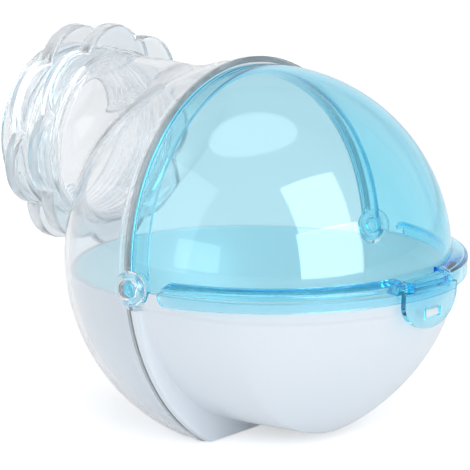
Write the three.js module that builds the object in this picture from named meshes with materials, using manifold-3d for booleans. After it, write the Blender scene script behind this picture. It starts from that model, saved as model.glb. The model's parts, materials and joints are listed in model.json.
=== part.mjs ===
// Hamster bath pod: a ball-shaped sand bath that hangs on the outside of a cage.
// A clear back shell with a connector tube, a white sand bowl, a blue visor that rolls back
// inside the shell, a blue latch, and two lobed nuts that clamp the tube to a cage panel.
// Millimetres, +Z up. The visor and its latch face -Y, the tube leaves towards +Y.
// Every shape is drawn about the centre of the ball; the finished group is then set down
// so that its origin is the middle of its footprint, on the surface it stands on.

import * as THREE from "three";
import { mergeVertices } from "three/addons/utils/BufferGeometryUtils.js";
import Module from "manifold-3d";

const wasm = await Module();
wasm.setup();

// Driving dimensions: clear back shell
const RIM_RADIUS = 62; // rim of the open front, the largest circle of the ball
const RIM_WIDTH = 2.4; // depth of the rim bead
const RIM_LEAN_DEG = 5; // the open front leans back by this much
const RIM_SETBACK = 1.2; // edge of the open front behind the pivots
const RIM_LIP = 0.4; // how far the bead stands proud of the shell
const SHELL_WALL = 1.4;
const BASE_DEPTH = 53.4; // from the centre of the ball down to the standing flat
const BOSS_RADIUS = 5.3; // round lugs on the rim that carry the visor's pins
const BOSS_RISE = 1.8; // how far a lug stands proud of the shell

// Driving dimensions: visor
const VISOR_GAP = 0.5; // running gap between visor and shell
const VISOR_WALL = 1.8;
const VISOR_TUCK = 2.2; // how far the closed visor reaches behind the pivots
const BORDER_WIDTH = 6; // thickened band along the visor's back edge
const BORDER_RISE = 1.2;
const EAR_RADIUS = 5;
const EAR_THICKNESS = 2.4;
const PIN_RADIUS = 2.5;
const PIN_GAP = 0.25;
const PIN_RECESS = 0.8; // pin end below the face of its lug
const PIN_CORE_RADIUS = 1.6; // cored hole in the pin, open to the inside
const PIN_CORE_FLOOR = 1.4;

// Driving dimensions: skirt along the visor's lower edge
const SKIRT_WALL = 1.5;
const SKIRT_GAP = 0.5; // between skirt and bowl collar
const SKIRT_DROP = 3.2; // lower edge of the skirt, below the pivots
const SHOULDER_TOP = 3.4; // where the shoulder leaves the visor, above the pivots
const SHOULDER_EDGE = 1.5; // where the shoulder turns into the skirt, above the pivots
const SKIRT_START = 11.8; // the skirt begins this far in front of the pivots
const SKIRT_END_RADIUS = 3;

// Driving dimensions: white sand bowl
const BOWL_GAP = 0.4; // between the bowl and the shell it nests in
const BOWL_WALL = 1.8;
const BOWL_BULGE = 2.2; // how far the front of the bowl swells past a true ball
const BULGE_END_DEG = 50; // the swelling dies out this far below the rim
const COLLAR_STEP = 0.6; // raised band under the skirt
const COLLAR_DROP = 6.8; // lower edge of the band
const FRONT_RIM_DROP = 1; // rim of the bowl below the pivots, in front of the seam
const BACK_RIM_DROP = 3.5; // and behind it
const SEAM_GAP = 0.3;
const BULKHEAD_WALL = 2.4; // white web that stands against the shell's rim
const BULKHEAD_INSET = 0.3; // it stays this much inside the rim
const KEEL_LIFT = 2.4; // flat keel of the bowl above the standing flat
const NOTCH_GAP = 0.5; // bowl clearance round the pivot lugs

// Driving dimensions: latch
const LATCH_GAP = 0.5; // between the latch plate and the skirt
const LATCH_WALL = 1.6;
const LATCH_WIDTH = 26.4;
const LATCH_DROP = 12.4; // lowest point of the plate, below the pivots
const LATCH_STRAIGHT = 3.4; // where its straight sides turn into the rounded tip
const LATCH_SHOULDER = 0.1; // top of the plate's outer corners, below the pivots
const LATCH_TOP = 2.65; // top of the hinge web, above the pivots
const HINGE_COVER = 0.8; // wall left outside the far end of a hinge socket
const HINGE_RISE = 1.15; // hinge axis above the pivots
const HINGE_WIDTH = 19.6; // length of the hinge barrel
const TRUNNION_RADIUS = 0.7;
const TRUNNION_REACH = 1.8; // from the barrel's end to the end of a trunnion
const TRUNNION_GAP = 0.2;
const LUG_WIDTH = 3.2;
const HINGE_GAP = 0.4; // side play of the barrel between its lugs
const HINGE_SLOT_DROP = 1.4; // lower edge of the slot in the skirt
const CATCH_DROP = 7.6; // middle of the catch, below the pivots
const CATCH_WIDTH = 6.4;
const CATCH_HEIGHT = 2.2;
const CATCH_BITE = 0.9; // how far the catch enters the plate
const CATCH_GAP = 0.5;

// Driving dimensions: connector tube and clamp nuts
const TUBE_TILT_DEG = 2.5; // the tube climbs towards the cage
const TUBE_TOP_INSET = 3.7; // upper edge of the tube's foot inside the outline of the ball
const TUBE_RADIUS = 26.8;
const TUBE_WALL = 2;
const THREAD_RISE = 0.8; // the threaded stretch stands this much proud of the tube
const TUBE_REACH = 24.7; // from the first nut's front face to the open end
const TUBE_SEAT_GAP = 0.3;
const FLARE_WIDTH = 4; // foot of the tube where it sits on the shell
const FLARE_HEIGHT = 8;
const FLARE_EDGE = 0.8; // thickness of the foot's rim
const NUT_GAP = 0.4; // between thread and nut
const NUT_CLEARANCE = 0.7; // between the first nut and the ball
const NUT_THICKNESS = 5.3;
const NUT_LOBES = 8;
const NUT_WALL = 4.6; // from the nut's bore to the valleys between its lobes
const NUT_LOBE_RISE = 4.1; // from the valleys to the tops of the lobes
const NUT_CHAMFER = 0.9;
const CLAMP_GAP = 5.3; // room for the cage panel between the nuts
const FRONT_NUT_TURN_DEG = 3.5; // how each nut happens to be turned
const REAR_NUT_TURN_DEG = 17;

// Facet counts
const BALL_STEPS = 44;
const RING_STEPS = 60;
const TUBE_STEPS = 48;
const PIN_STEPS = 24;
const ARC_STEPS = 5;

// Sizes that follow
const SHELL_RADIUS = RIM_RADIUS - RIM_LIP;
const SHELL_BORE = SHELL_RADIUS - SHELL_WALL;
const BOSS_FACE = SHELL_RADIUS + BOSS_RISE;
const VISOR_RADIUS = SHELL_BORE - VISOR_GAP;
const VISOR_BORE = VISOR_RADIUS - VISOR_WALL;
const VISOR_BOTTOM = -FRONT_RIM_DROP + VISOR_GAP;
const BOWL_RADIUS = SHELL_BORE - BOWL_GAP;
const COLLAR_RADIUS = BOWL_RADIUS + BOWL_BULGE + COLLAR_STEP;
const SKIRT_BORE = COLLAR_RADIUS + SKIRT_GAP;
const SKIRT_RADIUS = SKIRT_BORE + SKIRT_WALL;
const LATCH_BORE = Math.hypot(SKIRT_RADIUS, SKIRT_DROP) + LATCH_GAP;
const LATCH_RADIUS = LATCH_BORE + LATCH_WALL;
const SOCKET_RADIUS = TRUNNION_RADIUS + TRUNNION_GAP;
const SOCKET_END = HINGE_WIDTH / 2 + TRUNNION_REACH + TRUNNION_GAP;
const HINGE_RADIUS =
  Math.sqrt((SKIRT_RADIUS - HINGE_COVER) ** 2 - SOCKET_END ** 2) - SOCKET_RADIUS;
const BARREL_RADIUS = HINGE_RADIUS - VISOR_RADIUS - HINGE_GAP;
const SLOT_HALF = HINGE_WIDTH / 2 + HINGE_GAP;
const BASE_FLOOR = BASE_DEPTH - SHELL_WALL;
const BOWL_FLOOR = BASE_FLOOR - BOWL_GAP;
const KEEL_DEPTH = BASE_DEPTH - KEEL_LIFT;
const TUBE_BORE = TUBE_RADIUS - TUBE_WALL;
const THREAD_RADIUS = TUBE_RADIUS + THREAD_RISE;
const TUBE_OFFSET = SHELL_RADIUS - TUBE_TOP_INSET - FLARE_WIDTH - TUBE_RADIUS; // axis above the centre
const NUT_BORE = THREAD_RADIUS + NUT_GAP;
const NUT_VALLEY_RADIUS = NUT_BORE + NUT_WALL;
const NUT_PEAK_RADIUS = NUT_VALLEY_RADIUS + NUT_LOBE_RISE;
const FRONT_NUT_START = SHELL_RADIUS + NUT_CLEARANCE;
const REAR_NUT_START = FRONT_NUT_START + NUT_THICKNESS + CLAMP_GAP;
const TUBE_END = FRONT_NUT_START + TUBE_REACH;
const FAR = 4 * RIM_RADIUS; // half size of a cutting block that reaches past everything

const radians = THREE.MathUtils.degToRad;

// Closed geometry to a solid that can be joined and cut.
function solid(geometry) {
  const bare = new THREE.BufferGeometry();
  bare.setAttribute("position", geometry.getAttribute("position"));
  bare.setIndex(geometry.getIndex());
  const merged = mergeVertices(bare, 1e-4);
  const corners = merged.getIndex().array;
  const kept = [];
  for (let i = 0; i < corners.length; i += 3) {
    const [a, b, c] = [corners[i], corners[i + 1], corners[i + 2]];
    if (a !== b && b !== c && c !== a) kept.push(a, b, c);
  }
  return new wasm.Manifold(
    new wasm.Mesh({
      numProp: 3,
      vertProperties: new Float32Array(merged.getAttribute("position").array),
      triVerts: new Uint32Array(kept),
    }),
  );
}

// Solid back to a named mesh with its own material.
function meshOf(name, body, material) {
  const made = body.getMesh();
  const geometry = new THREE.BufferGeometry();
  geometry.setAttribute("position", new THREE.BufferAttribute(made.vertProperties, 3));
  geometry.setIndex(new THREE.BufferAttribute(made.triVerts, 1));
  geometry.computeVertexNormals();
  const mesh = new THREE.Mesh(geometry, material);
  mesh.name = name;
  return mesh;
}

// Block between two corners.
function block(low, high) {
  const size = new THREE.Vector3().subVectors(high, low);
  const middle = new THREE.Vector3().addVectors(low, high).multiplyScalar(0.5);
  const geometry = new THREE.BoxGeometry(size.x, size.y, size.z);
  geometry.translate(middle.x, middle.y, middle.z);
  return solid(geometry);
}

// Everything with y, or z, between two values.
function slabY(from, to) {
  return block(new THREE.Vector3(-FAR, from, -FAR), new THREE.Vector3(FAR, to, FAR));
}

function slabZ(from, to) {
  return block(new THREE.Vector3(-FAR, -FAR, from), new THREE.Vector3(FAR, FAR, to));
}

// Piece drawn about the upright plane through the pivots, leaned back with the rim.
function leaned(body) {
  return body.rotate([-RIM_LEAN_DEG, 0, 0]);
}

// Ball about the centre, turned about the pivot axis so that visor and shell facets agree.
function ball(radius) {
  const profile = [];
  for (let i = 0; i <= BALL_STEPS / 2; i += 1) {
    const angle = (i / (BALL_STEPS / 2) - 0.5) * Math.PI;
    profile.push(new THREE.Vector2(Math.max(0, radius * Math.cos(angle)), radius * Math.sin(angle)));
  }
  return solid(new THREE.LatheGeometry(profile, BALL_STEPS).rotateZ(-Math.PI / 2));
}

// Round bar along X through the point y, z.
function barX(radius, from, to, y = 0, z = 0) {
  const geometry = new THREE.CylinderGeometry(radius, radius, to - from, PIN_STEPS);
  geometry.rotateZ(-Math.PI / 2).translate((from + to) / 2, y, z);
  return solid(geometry);
}

// Pair of bars, one at each end of the pivot axis.
function barPair(radius, from, to) {
  return barX(radius, from, to).add(barX(radius, -to, -from));
}

// Ring or disc turned about Y (front to back) or Z (upright) from a closed outline.
function turnedY(outline, steps) {
  return solid(new THREE.LatheGeometry(outline, steps));
}

function turnedZ(outline, steps) {
  return solid(new THREE.LatheGeometry(outline, steps).rotateX(Math.PI / 2));
}

// Outline points from pairs of radius and height, closed on itself.
function closedOutline(pairs) {
  return [...pairs, pairs[0]].map(([r, h]) => new THREE.Vector2(r, h));
}

// Quarter ellipse from the foot (wide, low) to the head (narrow, high).
function shoulderArc(narrow, wide, low, high) {
  const points = [];
  for (let i = 0; i <= ARC_STEPS; i += 1) {
    const angle = (i / ARC_STEPS) * (Math.PI / 2);
    points.push([narrow + (wide - narrow) * Math.cos(angle), low + (high - low) * Math.sin(angle)]);
  }
  return points;
}

// Clear back shell: half a ball with a rim bead, a standing flat, two pivot lugs and a hole for the tube.
function backShell() {
  const rim = turnedY(
    closedOutline([
      [SHELL_BORE, RIM_SETBACK],
      [RIM_RADIUS, RIM_SETBACK],
      [RIM_RADIUS, RIM_SETBACK + RIM_WIDTH],
      [SHELL_BORE, RIM_SETBACK + RIM_WIDTH],
    ]),
    RING_STEPS,
  );
  const outside = ball(SHELL_RADIUS)
    .intersect(leaned(slabY(RIM_SETBACK, FAR)))
    .add(leaned(rim))
    .intersect(slabZ(-BASE_DEPTH, FAR));
  const inside = ball(SHELL_BORE).intersect(slabZ(-BASE_FLOOR, FAR));
  const lugs = barPair(BOSS_RADIUS, SHELL_BORE, BOSS_FACE);
  const pinHoles = barPair(PIN_RADIUS + PIN_GAP, VISOR_BORE, BOSS_FACE + RIM_LIP);
  const tubeHole = alongTube(
    solid(new THREE.CylinderGeometry(TUBE_RADIUS + TUBE_SEAT_GAP, TUBE_RADIUS + TUBE_SEAT_GAP, FAR, TUBE_STEPS)),
    FAR / 2,
  );
  return outside.subtract(inside).add(lugs).subtract(pinHoles).subtract(tubeHole);
}

// Radius of the bowl's outer skin, from how far it faces the front (1 ahead, 0 sideways)
// and how far below the rim it is, in degrees.
function bowlSkin(facing, dip, wall) {
  const fade = 1 - THREE.MathUtils.smoothstep(dip, 0, BULGE_END_DEG);
  return BOWL_RADIUS - wall + BOWL_BULGE * Math.max(0, facing) * fade;
}

// Front of the bowl as a full form: a ball that swells forward below its rim, carries the
// collar band, and is pressed flat along a keel so that each cross-section is half an ellipse.
function bowlFront(wall) {
  const collarDip = THREE.MathUtils.radToDeg(Math.asin(COLLAR_DROP / BOWL_RADIUS));
  const dips = [-3, collarDip - 0.6, collarDip + 0.6];
  const rows = 12;
  for (let i = 1; i <= rows; i += 1) dips.push(collarDip + ((90 - collarDip) * i) / rows);
  const profile = dips.map((dip) => {
    const angle = radians(dip);
    return new THREE.Vector2(Math.max(0, Math.cos(angle)), -Math.sin(angle));
  });
  profile[profile.length - 1].x = 0;
  const top = new THREE.Vector2(0, profile[0].y);
  const geometry = new THREE.LatheGeometry([...profile.reverse(), top], BALL_STEPS).rotateX(Math.PI / 2);
  const place = geometry.getAttribute("position");
  const keel = KEEL_DEPTH - wall;
  const point = new THREE.Vector3();
  for (let i = 0; i < place.count; i += 1) {
    point.fromBufferAttribute(place, i);
    const flat = Math.hypot(point.x, point.y);
    const dip = THREE.MathUtils.radToDeg(Math.atan2(-point.z, flat));
    const facing = flat > 1e-6 ? -point.y / flat : 0;
    const collar = dip < collarDip ? COLLAR_STEP : 0;
    point.multiplyScalar(bowlSkin(facing, dip, wall) + collar);
    const half = Math.sqrt(Math.max(0, (BOWL_RADIUS - wall) ** 2 - point.y ** 2));
    if (half > keel && point.z < 0) point.z *= keel / half;
    place.setXYZ(i, point.x, point.y, point.z);
  }
  return solid(geometry);
}

// White sand bowl: keeled front, a web against the shell's rim, and a half ball nested in the shell.
function sandBowl() {
  const webBack = RIM_SETBACK - SEAM_GAP;
  const webFront = webBack - BULKHEAD_WALL;
  const disc = turnedY(
    [
      new THREE.Vector2(0, webFront),
      new THREE.Vector2(RIM_RADIUS - BULKHEAD_INSET, webFront),
      new THREE.Vector2(RIM_RADIUS - BULKHEAD_INSET, webBack),
      new THREE.Vector2(0, webBack),
    ],
    RING_STEPS,
  );
  const web = leaned(disc).intersect(slabZ(-BASE_DEPTH + BULKHEAD_INSET, -BACK_RIM_DROP));
  const front = bowlFront(0).intersect(leaned(slabY(-FAR, webBack))).intersect(slabZ(-FAR, -FRONT_RIM_DROP));
  const nested = ball(BOWL_RADIUS)
    .intersect(leaned(slabY((webFront + webBack) / 2, FAR)))
    .intersect(slabZ(-BOWL_FLOOR, -BACK_RIM_DROP));
  const frontHollow = bowlFront(BOWL_WALL).intersect(leaned(slabY(-FAR, RIM_SETBACK)));
  const backHollow = ball(BOWL_RADIUS - BOWL_WALL)
    .intersect(leaned(slabY(webBack, FAR)))
    .intersect(slabZ(-BOWL_FLOOR + BOWL_WALL, FAR));
  const catchTip = LATCH_BORE + CATCH_BITE;
  const catchTooth = block(
    new THREE.Vector3(-CATCH_WIDTH / 2, -catchTip, -CATCH_DROP - CATCH_HEIGHT / 2),
    new THREE.Vector3(CATCH_WIDTH / 2, -BOWL_RADIUS + BOWL_WALL, -CATCH_DROP + CATCH_HEIGHT / 2),
  );
  const notches = barX(BOSS_RADIUS + NOTCH_GAP, -FAR, FAR);
  return front
    .add(web)
    .add(nested)
    .add(catchTooth)
    .subtract(frontHollow)
    .subtract(backHollow)
    .subtract(notches);
}

// Band of the visor's lower edge: a rounded shoulder that turns down into a skirt.
function skirtBand() {
  const thin = turnedZ(
    closedOutline([
      ...[
        [SKIRT_BORE, -SKIRT_DROP],
        [SKIRT_RADIUS, -SKIRT_DROP],
      ],
      ...shoulderArc(VISOR_RADIUS - SKIRT_WALL / 2, SKIRT_RADIUS, SHOULDER_EDGE, SHOULDER_TOP),
      ...shoulderArc(
        VISOR_RADIUS - SKIRT_WALL / 2,
        SKIRT_BORE,
        SHOULDER_EDGE,
        SHOULDER_TOP - SKIRT_WALL,
      ).reverse(),
    ]),
    RING_STEPS,
  );
  const full = turnedZ(
    closedOutline([
      [VISOR_RADIUS - SKIRT_WALL / 2, VISOR_BOTTOM],
      [SKIRT_BORE, VISOR_BOTTOM],
      [SKIRT_BORE, -SKIRT_DROP],
      [SKIRT_RADIUS, -SKIRT_DROP],
      ...shoulderArc(VISOR_RADIUS - SKIRT_WALL / 2, SKIRT_RADIUS, SHOULDER_EDGE, SHOULDER_TOP),
    ]),
    RING_STEPS,
  );
  const lugs = [-1, 1].map((side) => {
    const middle = side * (SLOT_HALF + LUG_WIDTH / 2);
    return full.intersect(
      block(
        new THREE.Vector3(middle - LUG_WIDTH / 2, -SKIRT_RADIUS, -SKIRT_DROP),
        new THREE.Vector3(middle + LUG_WIDTH / 2, -VISOR_RADIUS + SKIRT_WALL, SHOULDER_TOP),
      ),
    );
  });
  const slot = block(
    new THREE.Vector3(-SLOT_HALF, -FAR, -HINGE_SLOT_DROP),
    new THREE.Vector3(SLOT_HALF, 0, FAR),
  ).subtract(ball(VISOR_RADIUS));
  const sockets = barX(SOCKET_RADIUS, -SOCKET_END, SOCKET_END, -HINGE_RADIUS, HINGE_RISE);
  return thin
    .add(lugs[0])
    .add(lugs[1])
    .subtract(slot)
    .subtract(sockets)
    .intersect(skirtSideView());
}

// Side view of the band, carried across the ball: straight, with rounded back corners.
function skirtSideView() {
  const outline = new THREE.Shape();
  const back = -SKIRT_START;
  const round = SKIRT_END_RADIUS;
  outline.moveTo(-FAR, -SKIRT_DROP);
  outline.lineTo(back - round, -SKIRT_DROP);
  outline.absarc(back - round, -SKIRT_DROP + round, round, -Math.PI / 2, 0);
  outline.lineTo(back, SHOULDER_TOP - round);
  outline.absarc(back - round, SHOULDER_TOP - round, round, 0, Math.PI / 2);
  outline.lineTo(-FAR, SHOULDER_TOP);
  outline.closePath();
  const geometry = new THREE.ExtrudeGeometry(outline, {
    depth: 2 * FAR,
    bevelEnabled: false,
    curveSegments: ARC_STEPS,
  });
  geometry.translate(0, 0, -FAR);
  geometry.rotateY(Math.PI / 2).rotateX(Math.PI / 2);
  return solid(geometry);
}

// Blue visor: a quarter of a thin ball with a thicker back border, ears and cored pins, and the skirt band.
function visor() {
  const reach = leaned(slabY(-FAR, VISOR_TUCK)).intersect(slabZ(VISOR_BOTTOM, FAR));
  const border = ball(VISOR_BORE + VISOR_WALL / 2)
    .subtract(ball(VISOR_BORE - BORDER_RISE))
    .intersect(leaned(slabY(VISOR_TUCK - BORDER_WIDTH, VISOR_TUCK)))
    .intersect(slabZ(VISOR_BOTTOM, FAR));
  const pane = ball(VISOR_RADIUS).subtract(ball(VISOR_BORE)).intersect(reach);
  const ears = barPair(EAR_RADIUS, VISOR_RADIUS - EAR_THICKNESS, RIM_RADIUS).intersect(ball(VISOR_RADIUS));
  const pinEnd = BOSS_FACE - PIN_RECESS;
  const pins = barPair(PIN_RADIUS, VISOR_BORE, pinEnd);
  const cores = barPair(PIN_CORE_RADIUS, VISOR_RADIUS - 2 * EAR_THICKNESS, pinEnd - PIN_CORE_FLOOR);
  return pane.add(border).add(ears).add(pins).subtract(cores).add(skirtBand());
}

// Blue latch: a curved plate with a rounded tip and a window, on a barrel with two trunnions.
function latch() {
  const half = LATCH_WIDTH / 2;
  const outline = new THREE.Shape();
  outline.moveTo(-HINGE_WIDTH / 2, LATCH_TOP);
  outline.lineTo(-HINGE_WIDTH / 2, -LATCH_SHOULDER);
  outline.lineTo(-half, -LATCH_SHOULDER);
  outline.lineTo(-half, -LATCH_STRAIGHT);
  outline.absellipse(0, -LATCH_STRAIGHT, half, LATCH_DROP - LATCH_STRAIGHT, Math.PI, 2 * Math.PI);
  outline.lineTo(half, -LATCH_SHOULDER);
  outline.lineTo(HINGE_WIDTH / 2, -LATCH_SHOULDER);
  outline.lineTo(HINGE_WIDTH / 2, LATCH_TOP);
  outline.closePath();
  const geometry = new THREE.ExtrudeGeometry(outline, {
    depth: FAR,
    bevelEnabled: false,
    curveSegments: 4 * ARC_STEPS,
  });
  geometry.rotateX(Math.PI / 2);
  const plate = ball(LATCH_RADIUS).subtract(ball(LATCH_BORE)).intersect(solid(geometry));
  const barrel = barX(BARREL_RADIUS, -HINGE_WIDTH / 2, HINGE_WIDTH / 2, -HINGE_RADIUS, HINGE_RISE);
  const web = block(
    new THREE.Vector3(-HINGE_WIDTH / 2, -LATCH_RADIUS, HINGE_RISE - BARREL_RADIUS),
    new THREE.Vector3(HINGE_WIDTH / 2, -HINGE_RADIUS, LATCH_TOP),
  ).intersect(ball(LATCH_RADIUS));
  const reach = HINGE_WIDTH / 2 + TRUNNION_REACH;
  const trunnions = barX(TRUNNION_RADIUS, -reach, reach, -HINGE_RADIUS, HINGE_RISE);
  const window = block(
    new THREE.Vector3(-CATCH_WIDTH / 2 - CATCH_GAP, -FAR, -CATCH_DROP - CATCH_HEIGHT / 2 - CATCH_GAP),
    new THREE.Vector3(CATCH_WIDTH / 2 + CATCH_GAP, 0, -CATCH_DROP + CATCH_HEIGHT / 2 + CATCH_GAP),
  );
  return plate.subtract(window).add(barrel).add(web).add(trunnions);
}

// Piece drawn upright about Y, moved on to the tube's axis at a distance from the ball's centre.
function alongTube(body, along) {
  return body.translate([0, along, TUBE_OFFSET]).rotate([TUBE_TILT_DEG, 0, 0]);
}

// Ring drawn about Y with its heights counted from the ball's surface, draped over the ball:
// each point is moved along the tube until its height is counted from the ball below it.
function drapedFoot(outline) {
  const seat = SHELL_RADIUS + TUBE_SEAT_GAP;
  const geometry = new THREE.LatheGeometry(outline, TUBE_STEPS);
  const place = geometry.getAttribute("position");
  for (let i = 0; i < place.count; i += 1) {
    const across = Math.hypot(place.getX(i), place.getZ(i) + TUBE_OFFSET);
    place.setY(i, place.getY(i) + Math.sqrt(seat ** 2 - across ** 2));
  }
  return alongTube(solid(geometry), 0);
}

// Clear connector tube: bore, threaded stretch, and a flared foot that sits on the shell.
function connectorTube() {
  const threadStart = FRONT_NUT_START - NUT_CLEARANCE / 2;
  const pipe = turnedY(
    closedOutline([
      [TUBE_BORE, 0],
      [TUBE_RADIUS, 0],
      [TUBE_RADIUS, threadStart],
      [THREAD_RADIUS, threadStart],
      [THREAD_RADIUS, TUBE_END],
      [TUBE_BORE, TUBE_END],
    ]),
    TUBE_STEPS,
  );
  const middle = TUBE_RADIUS - TUBE_WALL / 2;
  const fillet = shoulderArc(0, FLARE_WIDTH, 0, FLARE_HEIGHT - FLARE_EDGE).map(([across, up]) => [
    TUBE_RADIUS + FLARE_WIDTH - across,
    FLARE_HEIGHT - up,
  ]);
  const foot = drapedFoot(
    closedOutline([[middle, 0], [TUBE_RADIUS + FLARE_WIDTH, 0], ...fillet.reverse(), [middle, FLARE_HEIGHT]]),
  ).intersect(alongTube(slabY(-FAR, threadStart), 0));
  return alongTube(pipe, 0).subtract(ball(SHELL_BORE)).add(foot);
}

// Outline of a clamp nut: equal arcs that bulge out and meet in sharp valleys.
function lobedOutline() {
  const half = Math.PI / NUT_LOBES;
  const valleyIn = NUT_VALLEY_RADIUS * Math.cos(half);
  const valleyUp = NUT_VALLEY_RADIUS * Math.sin(half);
  const centre =
    (NUT_PEAK_RADIUS ** 2 - valleyIn ** 2 - valleyUp ** 2) / (2 * (NUT_PEAK_RADIUS - valleyIn));
  const radius = NUT_PEAK_RADIUS - centre;
  const spread = Math.atan2(valleyUp, valleyIn - centre);
  const outline = new THREE.Shape();
  for (let i = 0; i < NUT_LOBES; i += 1) {
    const turn = 2 * half * i;
    outline.absarc(centre * Math.cos(turn), centre * Math.sin(turn), radius, turn - spread, turn + spread);
  }
  outline.closePath();
  return outline;
}

// Clear lobed nut, chamfered on both faces.
function clampNut(start, turnDeg) {
  const geometry = new THREE.ExtrudeGeometry(lobedOutline(), {
    depth: NUT_THICKNESS - 2 * NUT_CHAMFER,
    bevelEnabled: true,
    bevelThickness: NUT_CHAMFER,
    bevelSize: NUT_CHAMFER,
    bevelOffset: -NUT_CHAMFER,
    bevelSegments: 1,
    curveSegments: ARC_STEPS,
  });
  geometry.translate(0, 0, NUT_CHAMFER).rotateZ(-radians(turnDeg)).rotateX(-Math.PI / 2);
  const bore = solid(new THREE.CylinderGeometry(NUT_BORE, NUT_BORE, FAR, TUBE_STEPS));
  return alongTube(solid(geometry).subtract(bore), start);
}

// Finishes
const CLEAR = { color: 0xe6e9ee, roughness: 0.08, metalness: 0, transparent: true, opacity: 0.35 };
const BLUE = { color: 0x6fd0ee, roughness: 0.1, metalness: 0, transparent: true, opacity: 0.5 };
const WHITE = { color: 0xeceef2, roughness: 0.35, metalness: 0 };

const pieces = [
  ["back_shell", backShell(), CLEAR],
  ["sand_bowl", sandBowl(), WHITE],
  ["visor", visor(), BLUE],
  ["latch", latch(), BLUE],
  ["connector_tube", connectorTube(), CLEAR],
  ["front_nut", clampNut(FRONT_NUT_START, FRONT_NUT_TURN_DEG), CLEAR],
  ["rear_nut", clampNut(REAR_NUT_START, REAR_NUT_TURN_DEG), CLEAR],
];

const group = new THREE.Group();
for (const [name, body, finish] of pieces) {
  group.add(meshOf(name, body, new THREE.MeshStandardMaterial(finish)));
}

// Set the pod down: middle of the footprint at the origin, standing flat on z = 0.
const bounds = new THREE.Box3().setFromObject(group);
const middle = bounds.getCenter(new THREE.Vector3());
group.position.set(-middle.x, -middle.y, -bounds.min.z);

export default group;
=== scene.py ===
"""Looks of a hamster bath pod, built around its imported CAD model.

The pod is a ball: a clear back shell with a threaded connector tube and two lobed clamp nuts, a white
sand bowl, and a blue visor with a latch. Every piece is a surface worked out with numpy about the
centre of the ball, in millimetres, and then put in its place in metres.
"""

from __future__ import annotations

import json
import logging
import math
from collections.abc import Sequence
from dataclasses import dataclass, field, replace
from enum import Enum

import bmesh
import bpy
import numpy as np
from bpy.types import ID, Material, Mesh, Node, NodeSocket, NodeTree, Object
from mathutils import Matrix


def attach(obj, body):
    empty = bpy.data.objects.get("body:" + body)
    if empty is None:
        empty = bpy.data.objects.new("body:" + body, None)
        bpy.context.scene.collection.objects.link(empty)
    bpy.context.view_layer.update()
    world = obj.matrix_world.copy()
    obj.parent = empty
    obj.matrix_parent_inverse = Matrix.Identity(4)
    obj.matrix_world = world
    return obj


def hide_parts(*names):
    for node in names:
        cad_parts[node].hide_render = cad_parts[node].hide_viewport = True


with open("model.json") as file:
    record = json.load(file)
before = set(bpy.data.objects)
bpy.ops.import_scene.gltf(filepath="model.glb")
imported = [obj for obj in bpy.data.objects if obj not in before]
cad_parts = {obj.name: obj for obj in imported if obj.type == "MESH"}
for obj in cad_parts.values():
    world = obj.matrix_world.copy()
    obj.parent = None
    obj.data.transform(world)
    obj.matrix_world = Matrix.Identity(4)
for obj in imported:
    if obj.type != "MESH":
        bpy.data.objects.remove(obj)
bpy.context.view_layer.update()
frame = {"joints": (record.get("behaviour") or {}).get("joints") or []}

log = logging.getLogger("bath_pod")

MM = 0.001
IMAGE_SIZE = 470

Array = np.ndarray
Body = tuple[Array, Array]
Colour = tuple[float, float, float]
Pair = tuple[float, float]


def joint(name: str) -> dict:
    """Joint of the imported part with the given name."""
    return next(j for j in frame["joints"] if j["name"] == name)


BALL_CENTRE = np.array(joint("visor_hinge")["pos_m"])
LATCH_AXIS = (np.array(joint("latch_hinge")["pos_m"]) - BALL_CENTRE) / MM

# The shell's open front leans back by this much about the pivot axis
LEAN = math.radians(5.0)
LEAN_COS, LEAN_SIN = math.cos(LEAN), math.sin(LEAN)

TINY = 1e-6  # keeps roots and divisions away from zero


# Surface tools


def smooth_step(low: float, high: float, value: Array) -> Array:
    """Ramp from 0 at low to 1 at high, level at both ends (3t^2 - 2t^3)."""
    t = np.clip((value - low) / (high - low), 0.0, 1.0)
    return t * t * (3.0 - 2.0 * t)


def ring_angles(count: int) -> Array:
    """Angles of a full turn, without the repeated last one."""
    return np.arange(count) * (2.0 * np.pi / count)


def quarter_turn(count: int) -> Array:
    """Angles from nothing to a right angle, one per row."""
    return np.linspace(0, np.pi / 2, count)[:, None]


def points_at(x: Array, y: Array, z: Array) -> Array:
    """Points from their three coordinates, each an array or one number for all."""
    return np.stack(np.broadcast_arrays(x, y, z), axis=-1)


def leaned(points: Array) -> Array:
    """Points drawn about the upright plane through the pivots, leaned back with the rim."""
    x, y, z = np.moveaxis(points, -1, 0)
    return points_at(x, y * LEAN_COS + z * LEAN_SIN, z * LEAN_COS - y * LEAN_SIN)


def lean_plane(offset: float, height: Array) -> Array:
    """Where the leaning plane at an offset behind the pivots stands at a height: its y there."""
    return (offset + height * LEAN_SIN) / LEAN_COS


def stretches(stops: Array, counts: Sequence[int]) -> Array:
    """Rows that run through given stops, evenly inside each stretch.

    Args:
        stops: Array whose first axis lists the stops; other axes may hold one value per column.
        counts: Number of steps in each stretch.

    Returns:
        Array with sum(counts) + 1 rows.
    """
    stops = np.asarray(stops, dtype=float)
    across = [1] * (stops.ndim - 1)
    parts = []
    for i, count in enumerate(counts):
        share = np.linspace(0, 1, count, endpoint=False).reshape(-1, *across)
        parts.append(stops[i] + (stops[i + 1] - stops[i]) * share)
    return np.concatenate([*parts, stops[-1:]])


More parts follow.
